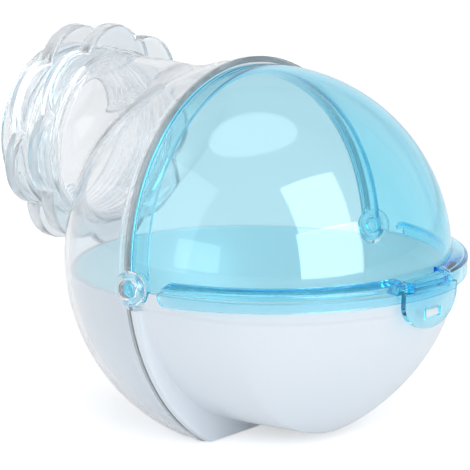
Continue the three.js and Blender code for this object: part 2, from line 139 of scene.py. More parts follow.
def cells(rows: int, cols: int, wrap_rows: bool, wrap_cols: bool) -> Array:
    """Corner numbers of the four-sided cells of a grid, closed on itself where asked.

    Args:
        rows: Number of grid rows.
        cols: Number of grid columns.
        wrap_rows: Whether the last row joins the first.
        wrap_cols: Whether the last column joins the first.

    Returns:
        Array of four corner numbers per cell.
    """
    row_count = rows if wrap_rows else rows - 1
    col_count = cols if wrap_cols else cols - 1
    r, c = np.meshgrid(np.arange(row_count), np.arange(col_count), indexing="ij")
    down, right = (r + 1) % rows, (c + 1) % cols
    corners = [r * cols + c, r * cols + right, down * cols + right, down * cols + c]
    return np.stack(corners, axis=-1).reshape(-1, 4)


def outward(points: Array, faces: Array) -> Body:
    """Closed body with its faces turned outwards.

    The sign of the enclosed volume, summed over the faces as tetrahedra to the origin, tells which
    way the faces look.

    Args:
        points: Points of the body.
        faces: Corner numbers of its four-sided faces.

    Returns:
        The body.
    """
    a, b, c, d = (points[faces[:, i]] for i in range(4))
    volume = np.sum(a * np.cross(b, c)) + np.sum(a * np.cross(c, d))
    return (points, faces if volume > 0 else faces[:, ::-1])


def closed_loop(grid: Array) -> Body:
    """Body of a section that closes on itself, carried round a full turn."""
    rows, cols = grid.shape[:2]
    return outward(grid.reshape(-1, 3), cells(rows, cols, True, True))


def turned(grid: Array) -> Body:
    """Body of a section that starts and ends on its own axis, carried round a full turn."""
    rows, cols = grid.shape[:2]
    return outward(grid.reshape(-1, 3), cells(rows, cols, False, True))


def wall(outer: Array, inner: Array, keep: Array | None = None) -> Body:
    """Wall between two matching grids, closed along every edge of the cells that are kept.

    Args:
        outer: Grid of points of the outer skin.
        inner: Grid of points of the inner skin.
        keep: Mask of the cells that exist; all of them if left out.

    Returns:
        Closed body: both skins, and a side face along each edge between a kept and a missing cell.
    """
    rows, cols = outer.shape[:2]
    keep = np.ones((rows - 1, cols - 1), dtype=bool) if keep is None else keep
    skin = cells(rows, cols, False, False)[keep.ravel()]
    lower = rows * cols
    number = np.arange(lower).reshape(rows, cols)
    above, below = np.pad(keep, ((1, 0), (0, 0))), np.pad(keep, ((0, 1), (0, 0)))
    left, right = np.pad(keep, ((0, 0), (1, 0))), np.pad(keep, ((0, 0), (0, 1)))
    borders = (
        (below & ~above, number[:, 1:], number[:, :-1]),
        (above & ~below, number[:, :-1], number[:, 1:]),
        (right & ~left, number[:-1], number[1:]),
        (left & ~right, number[1:], number[:-1]),
    )
    sides = []
    for mask, starts, ends in borders:
        start, end = starts[mask], ends[mask]
        sides.append(np.stack([start, end, end + lower, start + lower], axis=-1))
    points = np.concatenate([outer.reshape(-1, 3), inner.reshape(-1, 3)])
    faces = np.concatenate([skin, skin[:, ::-1] + lower, *sides])
    used, renumbered = np.unique(faces, return_inverse=True)
    return outward(points[used], renumbered.reshape(-1, 4))


def about_x(along: Array, radius: Array, steps: int, y: float = 0.0, z: float = 0.0) -> Array:
    """Section turned about a line parallel to X: each point goes round a circle of its own radius."""
    angle, radius = ring_angles(steps), radius[:, None]
    return points_at(along[:, None], y + radius * np.cos(angle), z + radius * np.sin(angle))


# Shader tools


def set_inputs(tree: NodeTree, node: Node, inputs: dict) -> None:
    """Give a node its inputs.

    Args:
        tree: Node tree that the node stands in.
        node: The node.
        inputs: Input names or numbers, each with a socket to link or a fixed value to set.
    """
    for key, value in inputs.items():
        if isinstance(value, NodeSocket):
            tree.links.new(value, node.inputs[key])
        else:
            node.inputs[key].default_value = value


def add_node(tree: NodeTree, kind: str, inputs: dict | None = None) -> Node:
    """New shader node of a kind, with its inputs set.

    Args:
        tree: Node tree that the node is put in.
        kind: Kind of node.
        inputs: Its inputs, as set_inputs takes them.

    Returns:
        The node.
    """
    node = tree.nodes.new(f"ShaderNode{kind}")
    set_inputs(tree, node, inputs or {})
    return node


def reckon(
    tree: NodeTree, operation: str, *values: float | NodeSocket
) -> NodeSocket:
    """Result of one maths node.

    Args:
        tree: Node tree that the node is put in.
        operation: Name of the maths operation.
        values: Its inputs in order, each a number or a socket to link.

    Returns:
        The node's output socket.
    """
    node = add_node(tree, "Math", dict(enumerate(values)))
    node.operation = operation
    return node.outputs["Value"]


def new_material(name: str) -> tuple[Material, NodeTree, Node]:
    """New material with a principled shader.

    Args:
        name: Name of the material.

    Returns:
        The material, its node tree and its shader.
    """
    material = bpy.data.materials.new(name)
    material.use_nodes = True
    return material, material.node_tree, material.node_tree.nodes["Principled BSDF"]


# Finishes

CAUGHT_AFTER = 5.5  # crossings and mirrorings after which light counts as caught in a clear wall


class Tint(Enum):
    """Tint of a clear plastic.

    Each holds the colour it leaves in light, its strength per metre, and the share of red, green and
    blue that is kept by lamp light and by caught light.
    """

    CLEAR = ((1.0, 1.0, 1.0), 0.0, (0.95, 0.955, 0.96), (0.76, 0.785, 0.81))
    OPEN = ((1.0, 1.0, 1.0), 0.0, (0.96, 0.965, 0.97), (0.91, 0.92, 0.93))
    BLUE = ((0.10, 0.855, 0.985), 195.0, (0.91, 0.96, 0.975), (0.60, 0.86, 0.93))


@dataclass(frozen=True)
class ClearPlastic:
    """Polished see-through plastic whose colour deepens with the length of wall that light crosses."""

    name: str
    tint: Tint
    milk: Colour = (0.93, 0.95, 0.97)
    clearness: float = 0.95
    roughness: Pair = (0.015, 0.05)
    ripple: float = 0.012
    ripple_depth: float = 0.002
    ripple_scale: float = 55.0
    ripple_detail: float = 2.0
    index: float = 1.49

    def material(self) -> Material:
        """Glass shader with a trace of milkiness, a faint moulding ripple and an absorbing inside.

        Returns:
            The material.
        """
        absorbed, density, passed, escaped = self.tint.value
        material, tree, shader = new_material(self.name)
        place = add_node(tree, "TexCoord").outputs["Object"]
        wave = {"Vector": place, "Scale": self.ripple_scale, "Detail": self.ripple_detail}
        cloud = add_node(tree, "TexNoise", wave).outputs["Fac"]
        low, high = self.roughness
        haze = add_node(tree, "MapRange", {"Value": cloud, "To Min": low, "To Max": high})
        relief = {"Height": cloud, "Strength": self.ripple, "Distance": self.ripple_depth}
        bump = add_node(tree, "Bump", relief)
        set_inputs(tree, shader, {
            "Base Color": (*self.milk, 1),
            "Transmission Weight": self.clearness,
            "IOR": self.index,
            "Roughness": haze.outputs["Result"],
            "Normal": bump.outputs["Normal"],
        })
        output = tree.nodes["Material Output"]
        if density > 0:
            inside = add_node(tree, "VolumeAbsorption", {"Color": (*absorbed, 1), "Density": density})
            set_inputs(tree, output, {"Volume": inside.outputs["Volume"]})
        surface = self._let_light_through(tree, shader.outputs["BSDF"], passed, escaped)
        set_inputs(tree, output, {"Surface": surface})
        return material

    @staticmethod
    def _let_light_through(
        tree: NodeTree, surface: NodeSocket, passed: Colour, escaped: Colour
    ) -> NodeSocket:
        """Make the wall a plain filter for shadow rays, light from what is inside, and caught light.

        Args:
            tree: Node tree of the material.
            surface: Output of its glass shader.
            passed: Share of red, green and blue that one skin lets through.
            escaped: The same for light that has been caught in a wall.

        Returns:
            The socket that the material shows.
        """
        path = add_node(tree, "LightPath").outputs
        caught = reckon(tree, "GREATER_THAN", path["Ray Depth"], CAUGHT_AFTER)
        either = reckon(tree, "MAXIMUM", path["Is Shadow Ray"], path["Is Diffuse Ray"])
        for share, colour in ((caught, escaped), (either, passed)):
            plain = add_node(tree, "BsdfTransparent", {"Color": (*colour, 1)})
            mix = add_node(tree, "MixShader", {"Fac": share, 1: surface, 2: plain.outputs["BSDF"]})
            surface = mix.outputs["Shader"]
        return surface


@dataclass(frozen=True)
class WhitePlastic:
    """Semi-gloss white moulding with a faint cloudiness and a very fine tool texture."""

    name: str
    light: Colour = (0.79, 0.85, 0.915)
    shade: Colour = (0.76, 0.825, 0.895)
    drift: Pair = (0.3, 0.7)
    drift_scale: float = 18.0
    drift_detail: float = 3.0
    roughness: Pair = (0.30, 0.42)
    coat: float = 0.25
    coat_roughness: float = 0.2
    grain: float = 0.02
    grain_depth: float = 0.0002
    grain_scale: float = 2500.0

    def material(self) -> Material:
        """Principled shader whose colour and gloss drift slowly, with a fine grain in the bump.

        Returns:
            The material.
        """
        material, tree, shader = new_material(self.name)
        place = add_node(tree, "TexCoord").outputs["Object"]
        slow = {"Vector": place, "Scale": self.drift_scale, "Detail": self.drift_detail}
        cloud = add_node(tree, "TexNoise", slow).outputs["Fac"]
        ramp = add_node(tree, "ValToRGB", {"Fac": cloud})
        stops = zip(ramp.color_ramp.elements, self.drift, (self.shade, self.light))
        for stop, position, colour in stops:
            stop.position = position
            stop.color = (*colour, 1)
        low, high = self.roughness
        gloss = add_node(tree, "MapRange", {"Value": cloud, "To Min": low, "To Max": high})
        fine = add_node(tree, "TexNoise", {"Vector": place, "Scale": self.grain_scale}).outputs["Fac"]
        relief = {"Height": fine, "Strength": self.grain, "Distance": self.grain_depth}
        bump = add_node(tree, "Bump", relief)
        set_inputs(tree, shader, {
            "Base Color": ramp.outputs["Color"],
            "Roughness": gloss.outputs["Result"],
            "Coat Weight": self.coat,
            "Coat Roughness": self.coat_roughness,
            "Normal": bump.outputs["Normal"],
        })
        return material


Finish = ClearPlastic | WhitePlastic

CLEAR = ClearPlastic("clear_plastic", Tint.CLEAR)
MILKY = ClearPlastic("clear_plastic_nut", Tint.OPEN, clearness=0.88)
# painted shade: a grey, half-opaque copy of the clear plastic for the shell's cut rim, standing in for the
# grey that light running along the wall shows there
EDGE_PAINTED_SHADE = ClearPlastic("clear_plastic_edge_painted_shade", Tint.OPEN, milk=(0.42, 0.47, 0.49), clearness=0.5)
BLUE = ClearPlastic("blue_plastic", Tint.BLUE, milk=(0.80, 0.95, 0.99), clearness=0.99)
WHITE = WhitePlastic("white_plastic")
# painted light: a paler copy of the white plastic for the faces inside the bowl, standing in for light
# that the blue visor holds back there; the plastic is the same as outside
INSIDE_PAINTED_LIGHT = WhitePlastic("white_plastic_inside_painted_light", (0.91, 0.945, 0.955), (0.89, 0.93, 0.945))


@dataclass
class Wardrobe:
    """Materials made so far, so that each finish is made once."""

    made: dict[str, Material] = field(default_factory=dict)

    def material(self, finish: Finish) -> Material:
        """Material of a finish, made the first time it is asked for.

        Args:
            finish: The finish.

        Returns:
            Its material.
        """
        if finish.name not in self.made:
            self.made[finish.name] = finish.material()
        return self.made[finish.name]

    def dress(self, piece: Object, finish: Finish) -> None:
        """Give a whole piece its finish."""
        piece.data.materials.clear()
        piece.data.materials.append(self.material(finish))

    def trim(self, piece: Object, finish: Finish, chosen: Array) -> None:
        """Give a second finish to the chosen faces of a piece that is already dressed."""
        piece.data.materials.append(self.material(finish))
        piece.data.polygons.foreach_set("material_index", chosen.astype(np.int32))


WARDROBE = Wardrobe()


# Pieces

WELD_DISTANCE = 2e-6  # metres within which points are joined
SPECK_LENGTH = 1e-7  # metres below which an edge is taken out
BEVEL_STEPS = 2
BEVEL_FROM = math.radians(50)  # edges that bend more than this are rounded
SHARP_FROM = math.radians(32)  # edges that bend more than this aren't shaded smooth


def put_in_scene(name: str, data: ID) -> Object:
    """New object of the scene, at the origin.

    Args:
        name: Name of the object.
        data: Its mesh, lamp or camera.

    Returns:
        The object.
    """
    thing = bpy.data.objects.new(name, data)
    bpy.context.scene.collection.objects.link(thing)
    return thing


def mesh_of(name: str, body: Body) -> Mesh:
    """Blender mesh of a closed body, set in its place in metres, with points that meet joined.

    Args:
        name: Name of the mesh.
        body: Points in millimetres about the centre of the ball, and four-sided faces.

    Returns:
        The mesh.
    """
    points, faces = body
    mesh = bpy.data.meshes.new(name)
    mesh.vertices.add(len(points))
    mesh.vertices.foreach_set("co", (points * MM + BALL_CENTRE).astype(np.float32).ravel())
    mesh.loops.add(faces.size)
    mesh.loops.foreach_set("vertex_index", faces.astype(np.int32).ravel())
    mesh.polygons.add(len(faces))
    mesh.polygons.foreach_set("loop_start", np.arange(0, faces.size, 4, dtype=np.int32))
    mesh.update(calc_edges=True)
    shape = bmesh.new()
    shape.from_mesh(mesh)
    bmesh.ops.remove_doubles(shape, verts=shape.verts, dist=WELD_DISTANCE)
    bmesh.ops.dissolve_degenerate(shape, edges=shape.edges, dist=SPECK_LENGTH)
    shape.to_mesh(mesh)
    shape.free()
    return mesh


def face_values(mesh: Mesh, kind: str) -> Array:
    """Centres or normals of all faces of a mesh.

    Args:
        mesh: The mesh.
        kind: Either center or normal.

    Returns:
        Array with a row of three numbers per face.
    """
    values = np.empty(len(mesh.polygons) * 3, dtype=np.float32)
    mesh.polygons.foreach_get(kind, values)
    return values.reshape(-1, 3)


def fused(name: str, bodies: Sequence[Body], edge: float, cuts: Sequence[Body]) -> Mesh:
    """One mesh from closed bodies that reach into each other, with no skin left inside.

    Args:
        name: Name of the mesh.
        bodies: The closed bodies.
        edge: Width of the rounding of each body's sharp edges, in millimetres.
        cuts: Closed bodies that are taken away from the rest.

    Returns:
        The joined mesh.
    """
    parts = []
    for i, shape in enumerate([*bodies, *cuts]):
        part = put_in_scene(f"{name}_{i}", mesh_of(f"{name}_{i}", shape))
        parts.append(part)
        if edge > 0 and i < len(bodies):
            bevel = part.modifiers.new("rounded_edges", "BEVEL")
            bevel.width = edge * MM
            bevel.segments = BEVEL_STEPS
            bevel.limit_method = "ANGLE"
            bevel.angle_limit = BEVEL_FROM
    for i, part in enumerate(parts[1:], start=1):
        join = parts[0].modifiers.new("join", "BOOLEAN")
        join.operation = "UNION" if i < len(bodies) else "DIFFERENCE"
        join.solver = "MANIFOLD"
        join.object = part
    finished = parts[0].evaluated_get(bpy.context.evaluated_depsgraph_get())
    mesh = bpy.data.meshes.new_from_object(finished)
    mesh.name = name
    for part in parts:
        bpy.data.meshes.remove(part.data)
    return mesh


def piece_from(
    name: str,
    bodies: Sequence[Body],
    finish: Finish,
    rides_on: str,
    stands_for: tuple[str, ...],
    edge: float,
    cuts: Sequence[Body] = (),
) -> Object:
    """Blender piece made of closed bodies, placed, smoothed, dressed and tied to its CAD node.

    Args:
        name: Name of the piece.
        bodies: Closed bodies in millimetres about the centre of the ball.
        finish: Finish of the whole piece.
        rides_on: CAD body that the piece moves with.
        stands_for: CAD nodes that the piece replaces.
        edge: Width of the rounding of sharp edges, in millimetres.
        cuts: Closed bodies that are taken away from the rest.

    Returns:
        The finished object.
    """
    mesh = fused(name, bodies, edge, cuts)
    mesh.polygons.foreach_set("use_smooth", np.ones(len(mesh.polygons), dtype=bool))
    mesh.set_sharp_from_angle(angle=SHARP_FROM)
    piece = put_in_scene(name, mesh)
    WARDROBE.dress(piece, finish)
    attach(piece, rides_on)
    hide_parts(*stands_for)
    return piece


# Sub-assemblies

ROD = np.array([0.0, 1.0, 1.0, 0.0])  # radii of a plain rod, from end to end
ROD_ENDS = np.array([-1.0, -1.0, 1.0, 1.0])  # and where they stand, with the middle at 0
PIVOT_STEPS = 64  # steps round lugs, pins and ears
HINGE_STEPS = 40  # steps round the latch's hinge


@dataclass
class ConnectorTube:
    """Clear tube moulded on the top of the back shell, climbing a little towards the cage."""

    tilt_deg: float = 2.5
    offset: float = 27.1
    bore: float = 24.8
    thread_radius: float = 27.6
    thread_depth: float = 0.9
    pitch: float = 2.6
    thread_start: float = 61.95
    thread_run_in: float = 2.0
    thread_run_out: Pair = (4.4, 2.8)
    end: float = 87.3
    end_radius: float = 27.9
    end_fillet: float = 0.8
    end_collar: Pair = (3.2, 2.2)
    neck_radius: float = 27.8
    neck_bend: int = 6
    foot_width: float = 4.0
    foot_edge: float = 30.8
    foot_height: float = 8.0
    foot_least: float = 0.05
    foot_gap: float = 0.3
    columns: int = 240
    flare_rows: int = 15
    bore_rows: int = 24
    end_rows: int = 6
    thread_rows: int = 140
    neck_rows: int = 14

    def around(self, radius: Array, along: Array, angle: Array) -> Array:
        """Points round the tube's axis.

        Args:
            radius: Distance from the axis.
            along: Place along the axis, from beside the ball's centre.
            angle: Angle round the axis.

        Returns:
            Points about the ball's centre.
        """
        tilt = math.radians(self.tilt_deg)
        up = self.offset + radius * np.sin(angle)
        y = along * math.cos(tilt) - up * math.sin(tilt)
        z = along * math.sin(tilt) + up * math.cos(tilt)
        return points_at(radius * np.cos(angle), y, z)

    def ball_reach(self, angle: Array, radius: Array, ball: float) -> Array:
        """Distance along the tube at which a line beside its axis leaves a ball.

        Pythagoras: the square root of the ball's radius squared less the line's distance from the
        centre of the ball squared.

        Args:
            angle: Angle of the line round the tube's axis.
            radius: Distance of the line from the axis.
            ball: Radius of the ball.

        Returns:
            Distances, in the shape that angle and radius share.
        """
        across = radius * np.cos(angle)
        up = self.offset + radius * np.sin(angle)
        return np.sqrt(np.maximum(ball**2 - across**2 - up**2, 1.0))

    def ball_edge(self, angle: Array, radius: float, ball: float) -> Array:
        """Points where lines beside the axis leave a ball."""
        return self.around(radius, self.ball_reach(angle, radius, ball), angle)

    def ridge(self, along: Array, angle: Array) -> Array:
        """Height of the thread from 0 to 1: a rounded ridge that advances one pitch per turn.

        Args:
            along: Places along the axis.
            angle: Angles round the axis.

        Returns:
            One height per place.
        """
        phase = along / self.pitch - angle / (2 * np.pi)
        wave = 0.5 + 0.5 * np.cos(2 * np.pi * phase)
        fade = smooth_step(self.thread_start, self.thread_start + self.thread_run_in, along)
        start, stop = self.thread_run_out
        fade = fade * (1 - smooth_step(self.end - start, self.end - stop, along))
        return fade * wave

    def flare(self, radius: float, width: float, ball: float) -> tuple[Array, Array]:
        """Flare from a cylinder out to a ball: a quarter ellipse laid on the ball for every angle.

        Args:
            radius: Radius of the cylinder.
            width: How far the flare spreads.
            ball: Radius of the ball it lands on.

        Returns:
            Radii and distances along the axis, rows from the cylinder to the ball, columns round it.
        """
        angle = ring_angles(self.columns)[None, :]
        bend = quarter_turn(self.flare_rows)
        spread = (radius + width * (1 - np.cos(bend))) * np.ones_like(angle)
        room = self.thread_start - self.ball_reach(angle, spread[:1], ball) - self.foot_gap
        height = np.clip(room, self.foot_least, self.foot_height)
        return spread, self.ball_reach(angle, spread, ball) + height * (1 - np.sin(bend))

    def skin(self, shell: BackShell) -> Array:
        """Skin of the tube, as one loop: inner flare, bore, rounded end, thread, neck, outer flare.

        Args:
            shell: Shell that the foot grows out of.

        Returns:
            Grid of points, rows from the shell's inside to its outside, columns round the axis.
        """
        angle = ring_angles(self.columns)[None, :]
        ones = np.ones_like(angle)
        inner_radius, inner_along = self.flare(self.bore, self.foot_width, shell.bore)
        outer_width = self.foot_edge - self.neck_radius
        outer_radius, outer_along = self.flare(self.neck_radius, outer_width, shell.radius)
        fillet, turn = self.end_fillet, quarter_turn(self.end_rows)
        tip = self.end - fillet
        bore_along = stretches(np.stack([inner_along[0], tip * ones[0]]), [self.bore_rows])[1:-1]
        thread_along = np.linspace(tip, self.thread_start, self.thread_rows)[1:, None] * ones
        root = self.thread_radius - self.thread_depth
        start, full = self.end_collar
        collar = smooth_step(self.end - start, self.end - full, thread_along)
        collar = (self.end_radius - root) * collar
        neck_stops = np.stack([self.thread_start * ones[0], outer_along[0]])
        neck_along = stretches(neck_stops, [self.neck_rows])[1:-1]
        step = (1 - np.linspace(0, 1, self.neck_rows + 1)[1:-1, None]) ** self.neck_bend
        rows = [
            (inner_radius[::-1], inner_along[::-1]),
            (np.full_like(bore_along, self.bore), bore_along),
            (self.bore + fillet - fillet * np.cos(turn), tip + fillet * np.sin(turn)),
            (self.end_radius - fillet + fillet * np.sin(turn), tip + fillet * np.cos(turn)),
            (root + collar + self.thread_depth * self.ridge(thread_along, angle), thread_along),
            (self.neck_radius - (self.neck_radius - root) * step, neck_along),
            (outer_radius, outer_along),
        ]
        radius, along = (np.concatenate([part * ones for part in side]) for side in zip(*rows))
        return self.around(radius, along, angle)


@dataclass
class BackShell:
    """Clear half ball with a leaning rim bead, a standing flat, two pivot lugs, and the tube."""

    radius: float = 61.6
    bore: float = 60.2
    setback: float = 1.2
    rim_lip: float = 0.4
    rim_width: float = 2.4
    rim_soft: float = 0.4
    rim_margin: float = 0.8
    # depth behind the rim of the faces that get the painted grey shade
    painted_shade_reach: float = 0.9
    base_depth: float = 53.4
    base_wall: float = 1.4
    lug_radius: float = 5.3
    lug_hole: float = 2.75
    lug_face: float = 63.4
    lug_back: float = 60.25
    lug_fillet: float = 1.0
    lug_margin: float = 0.5
    lug_rows: int = 7
    bore_reach: float = 1.1
    rows: tuple[int, int, int] = (40, 18, 12)
    arc_steps: int = 800
    crease_gap: float = 0.004
    crease_rest: Pair = (0.4, 0.5)
    rounding: float = 0.25

    def rim(self, angle: Array) -> Array:
        """Unit directions of the leaning rim.

        Args:
            angle: Angles round the rim.

        Returns:
            One unit vector per angle.
        """
        across = math.sqrt(self.radius**2 - self.setback**2)
        circle = points_at(across * np.cos(angle), self.setback, across * np.sin(angle))
        return leaned(circle) / self.radius

    def directions(self, tube: ConnectorTube) -> Array:
        """Unit directions of the shell's grid.

        For each angle a great-circle arc runs from the edge of the tube's foot to the rim. Along the
        arc the rows are set so that one row follows the edge of the standing flat and the last ones
        crowd into the rim bead.

        Args:
            tube: Tube whose foot the shell starts from.

        Returns:
            Grid of unit vectors, rows from the foot to the rim.
        """
        angle = ring_angles(tube.columns)
        start = tube.ball_edge(angle, tube.foot_edge, self.radius) / self.radius
        stop = self.rim(angle)
        arc = np.arccos(np.clip(np.sum(start * stop, axis=-1), -1, 1))
        bead = 1 - (self.rim_width + self.rim_margin) / (self.radius * arc)
        crease = self.crease(angle, start, stop, arc, bead)
        stops = np.stack([np.zeros_like(bead), crease, bead, np.ones_like(bead)])
        share = stretches(stops, self.rows)
        from_start = np.sin((1 - share) * arc) / np.sin(arc)
        from_stop = np.sin(share * arc) / np.sin(arc)
        return from_start[..., None] * start + from_stop[..., None] * stop

    def crease(self, angle: Array, start: Array, stop: Array, arc: Array, bead: Array) -> Array:
        """Share of each arc at which it meets the standing flat, or a resting place where it doesn't.

        Args:
            angle: Angle of each arc.
            start: Unit vectors where the arcs start.
            stop: Unit vectors where they end.
            arc: Their lengths in radians.
            bead: Share at which the rim bead begins.

        Returns:
            One share per arc.
        """
        share = np.linspace(0, 1, self.arc_steps)[:, None]
        height = np.sin((1 - share) * arc) * start[:, 2] + np.sin(share * arc) * stop[:, 2]
        below = self.radius * height / np.sin(arc) < -self.base_depth
        meets = share[np.argmax(below, axis=0), 0]
        limit = math.acos(self.base_depth / self.radius)
        straight_down = 1.5 * np.pi
        beyond = np.abs((angle - straight_down + np.pi) % (2 * np.pi) - np.pi) - limit
        retreat, reach = self.crease_rest
        resting = bead * (1 - retreat * smooth_step(0.0, reach, beyond))
        return np.where(below.any(axis=0), np.minimum(meets, bead - self.crease_gap), resting)

    def skins(self, tube: ConnectorTube) -> tuple[Array, Array]:
        """Outer and inner skin: the ball, cut level at the standing flat, with the bead near the rim.

        Args:
            tube: Tube whose foot the shell starts from.

        Returns:
            Grids of points of the outer and the inner skin.
        """
        way = self.directions(tube)
        behind = self.radius * (way[..., 1] * LEAN_COS - way[..., 2] * LEAN_SIN) - self.setback
        low, high = self.rim_width - self.rim_soft, self.rim_width + self.rim_soft
        lift = self.rim_lip * (1 - smooth_step(low, high, behind))
        sink = np.maximum(-way[..., 2], TINY)
        outer = np.minimum(self.radius + lift, self.base_depth / sink)
        inner = np.minimum(self.bore, (self.base_depth - self.base_wall) / sink)
        return outer[..., None] * way, inner[..., None] * way

    def lug(self, side: int) -> Body:
        """Round lug on the rim: a rectangle with rounded corners, turned about the pivot axis.

        Args:
            side: Side that it stands on, -1 or 1.

        Returns:
            The closed body.
        """
        fillet, turn = self.lug_fillet, quarter_turn(self.lug_rows)[:, 0]
        high, low = self.lug_face - fillet, self.lug_back + fillet
        outer, inner = self.lug_radius - fillet, self.lug_hole + fillet
        along, radius = [], []
        for quarter, (x, r) in enumerate([(high, outer), (low, outer), (low, inner), (high, inner)]):
            angle = turn + quarter * np.pi / 2
            along.append(x + fillet * np.cos(angle))
            radius.append(r + fillet * np.sin(angle))
        section = about_x(side * np.concatenate(along), np.concatenate(radius), PIVOT_STEPS)
        return closed_loop(section)

    def build(self, tube: ConnectorTube) -> Object:
        """Carry one skin over tube, foot, outside and inside of the shell, and join the lugs to it.

        Args:
            tube: Tube that is moulded on.

        Returns:
            The finished object.
        """
        outer, inner = self.skins(tube)
        moulding = closed_loop(np.concatenate([tube.skin(self), outer[1:], inner[:0:-1]]))
        nodes = ("back_shell", "connector_tube")
        bodies = [moulding, self.lug(-1), self.lug(1)]
        reach = self.lug_face * self.bore_reach * ROD_ENDS
        bore = turned(about_x(reach, self.lug_hole * ROD, PIVOT_STEPS))
        piece = piece_from("back_shell_look", bodies, CLEAR, "pod", nodes, self.rounding, [bore])
        # painted shade: the faces of the cut rim get the grey edge finish
        WARDROBE.trim(piece, EDGE_PAINTED_SHADE, self.painted_shade_rim_faces(piece.data))
        return piece

    def painted_shade_rim_faces(self, mesh: Mesh) -> Array:
        """Mask of the faces of the cut rim, which get a painted grey shade for the light that runs along
        the wall and out there.

        Args:
            mesh: Mesh of the piece.

        Returns:
            One flag per face.
        """
        _, y, z = ((face_values(mesh, "center") - BALL_CENTRE) / MM).T
        behind = y * LEAN_COS - z * LEAN_SIN - self.setback
        return (behind < self.painted_shade_reach) & (np.hypot(y, z) > self.lug_radius + self.lug_margin)


@dataclass
class ClampNut:
    """Clear nut with round lobes that meet in valleys, threaded inside, rounded outside."""

    node: str
    start: float
    turn_deg: float
    thickness: float = 5.3
    lobes: int = 8
    bore: float = 28.0
    valley: float = 32.6
    peak: float = 36.7
    fillet: float = 1.4
    thread_depth: float = 0.35
    thread_fade: float = 1.2
    thread_sharpness: float = 1.5
    columns: int = 512
    thread_rows: int = 60
    face_rows: int = 10
    fillet_rows: int = 8

    def outline(self, angle: Array) -> Array:
        """Radius of the lobed outline: the far crossing of a ray with the circle of the nearest lobe.

        Args:
            angle: Angles round the nut's axis.

        Returns:
            One radius per angle.
        """
        half = math.pi / self.lobes
        low_x, low_y = self.valley * math.cos(half), self.valley * math.sin(half)
        centre = (self.peak**2 - low_x**2 - low_y**2) / (2 * (self.peak - low_x))
        lobe = self.peak - centre
        local = (angle - math.radians(self.turn_deg) + half) % (2 * half) - half
        return centre * np.cos(local) + np.sqrt(lobe**2 - (centre * np.sin(local)) ** 2)

    def build(self, tube: ConnectorTube) -> Object:
        """Section of bore, faces and rounded rim, with the rim's radius following the lobes.

        Args:
            tube: Tube that the nut sits on.

        Returns:
            The finished object.
        """
        angle = ring_angles(self.columns)[None, :]
        ones = np.ones_like(angle)
        depth = np.linspace(0, self.thickness, self.thread_rows)[:, None] * ones
        phase = (depth + self.start) / tube.pitch - angle / (2 * np.pi)
        ridge = (0.5 + 0.5 * np.cos(2 * np.pi * phase)) ** self.thread_sharpness
        fade_end = smooth_step(self.thickness - self.thread_fade, self.thickness, depth)
        ends = smooth_step(0.0, self.thread_fade, depth) * (1 - fade_end)
        bore = self.bore + self.thread_depth * (1 - ridge * ends)
        fillet, turn = self.fillet, quarter_turn(self.fillet_rows)
        rim = self.outline(angle) - fillet
        face_share = np.linspace(0, 1, self.face_rows)[1:-1, None]
        rows = [
            (bore, depth),
            (bore[-1] + face_share * (rim - bore[-1]), np.full_like(face_share, self.thickness)),
            (rim + fillet * np.sin(turn), self.thickness - fillet + fillet * np.cos(turn)),
            (rim + fillet * np.cos(turn), fillet - fillet * np.sin(turn)),
            ((bore[0] + face_share * (rim - bore[0]))[::-1], np.zeros_like(face_share)),
        ]
        radius, along = (np.concatenate([part * ones for part in side]) for side in zip(*rows))
        body = closed_loop(tube.around(radius, self.start + along, angle))
        return piece_from(f"{self.node}_look", [body], MILKY, self.node, (self.node,), 0.0)


